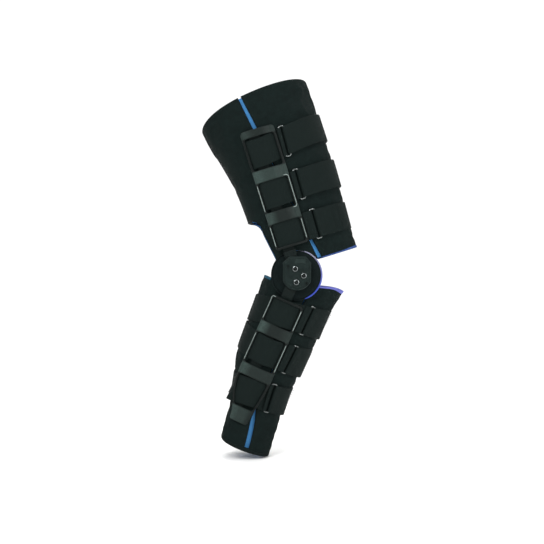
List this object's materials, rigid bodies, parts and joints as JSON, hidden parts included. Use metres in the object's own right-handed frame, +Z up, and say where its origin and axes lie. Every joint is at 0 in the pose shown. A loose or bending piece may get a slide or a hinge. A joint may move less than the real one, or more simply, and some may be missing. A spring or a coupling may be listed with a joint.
{
  "type": "knee brace",
  "caption": "Long hinged knee brace: foam thigh and calf wraps, side arms on dial hinges, ladder frames and ring straps.",
  "frame": {"origin": "middle of the lateral condyle pad's knee-side face, on the knee hinge axis", "axes": "+X forward, +Y from the lateral side to the medial side, +Z up, with the knee bent 42 degrees"},
  "size_m": [0.2606, 0.2072, 0.6266],
  "materials": {
    "black_laminate": "brushed loop fabric laminated on foam",
    "blue_lining": "smooth knitted lining",
    "black_webbing": "hook-and-loop strap, fine brushed pile",
    "pad_foam": "brushed fabric over foam, with a pale blue edge",
    "frame_plastic": "satin moulded, with glossy raised rails",
    "slider_plastic": "satin moulded",
    "hinge_plastic": "semi-gloss moulded",
    "black_metal": "black coated, satin",
    "pivot_steel": "turned",
    "screw_steel": "polished button heads",
    "ring_steel": "drawn wire, dark nickel"
  },
  "bodies": {
    "thigh": {"thigh_wrap_back": "black_laminate", "thigh_flap_lateral": "black_laminate", "thigh_flap_medial": "black_laminate", "thigh_gusset_lateral": "blue_lining", "thigh_gusset_medial": "blue_lining", "thigh_frame_lateral": "frame_plastic", "thigh_frame_medial": "frame_plastic", "thigh_strap_1": "black_webbing", "thigh_ring_tab_1": "black_webbing", "thigh_ring_1": "ring_steel", "thigh_strap_2": "black_webbing", "thigh_ring_tab_2": "black_webbing", "thigh_ring_2": "ring_steel", "thigh_strap_3": "black_webbing", "thigh_ring_tab_3": "black_webbing", "thigh_ring_3": "ring_steel", "lateral_condyle_pad": "pad_foam", "lateral_hinge_base": "hinge_plastic", "lateral_upper_arm": "black_metal", "lateral_pivot_hub": "pivot_steel", "lateral_inner_washer": "hinge_plastic", "lateral_outer_washer": "hinge_plastic", "lateral_dial_cover": "hinge_plastic", "lateral_dial_screw_1": "screw_steel", "lateral_dial_screw_2": "screw_steel", "lateral_dial_screw_3": "screw_steel", "medial_condyle_pad": "pad_foam", "medial_hinge_base": "hinge_plastic", "medial_upper_arm": "black_metal", "medial_pivot_hub": "pivot_steel", "medial_inner_washer": "hinge_plastic", "medial_outer_washer": "hinge_plastic", "medial_dial_cover": "hinge_plastic", "medial_dial_screw_1": "screw_steel", "medial_dial_screw_2": "screw_steel", "medial_dial_screw_3": "screw_steel"},
    "calf": {"calf_wrap_back": "black_laminate", "calf_flap_lateral": "black_laminate", "calf_flap_medial": "black_laminate", "calf_gusset_lateral": "blue_lining", "calf_gusset_medial": "blue_lining", "calf_frame_lateral": "frame_plastic", "calf_frame_medial": "frame_plastic", "calf_strap_1": "black_webbing", "calf_back_strap_1": "black_webbing", "calf_ring_1": "ring_steel", "calf_strap_2": "black_webbing", "calf_back_strap_2": "black_webbing", "calf_ring_2": "ring_steel", "calf_strap_3": "black_webbing", "calf_back_strap_3": "black_webbing", "calf_ring_3": "ring_steel", "lateral_lower_arm": "black_metal", "medial_lower_arm": "black_metal"},
    "lateral_extension_stop_pin": {"lateral_extension_stop_pin": "black_metal"},
    "lateral_flexion_stop_pin": {"lateral_flexion_stop_pin": "black_metal"},
    "lateral_lock_slider": {"lateral_lock_slider": "slider_plastic"},
    "medial_extension_stop_pin": {"medial_extension_stop_pin": "black_metal"},
    "medial_flexion_stop_pin": {"medial_flexion_stop_pin": "black_metal"},
    "medial_lock_slider": {"medial_lock_slider": "slider_plastic"}
  },
  "joints": [
    {"name": "knee_flexion", "type": "hinge", "parent": "thigh", "child": "calf", "pos_m": [0, 0.0506, 0], "axis": [0, 1, 0], "range_deg": [-42, 78]},
    {"name": "lateral_extension_stop_pin_pull", "type": "slide", "parent": "thigh", "child": "lateral_extension_stop_pin", "axis": [0, -1, 0], "range_m": [0, 0.008]},
    {"name": "lateral_flexion_stop_pin_pull", "type": "slide", "parent": "thigh", "child": "lateral_flexion_stop_pin", "axis": [0, -1, 0], "range_m": [0, 0.008]},
    {"name": "lateral_lock_slide", "type": "slide", "parent": "thigh", "child": "lateral_lock_slider", "axis": [-0.2957, 0, 0.9553], "range_m": [0, 0.005]},
    {"name": "medial_extension_stop_pin_pull", "type": "slide", "parent": "thigh", "child": "medial_extension_stop_pin", "axis": [0, 1, 0], "range_m": [0, 0.008]},
    {"name": "medial_flexion_stop_pin_pull", "type": "slide", "parent": "thigh", "child": "medial_flexion_stop_pin", "axis": [0, 1, 0], "range_m": [0, 0.008]},
    {"name": "medial_lock_slide", "type": "slide", "parent": "thigh", "child": "medial_lock_slider", "axis": [-0.2957, 0, 0.9553], "range_m": [0, 0.005]}
  ]
}
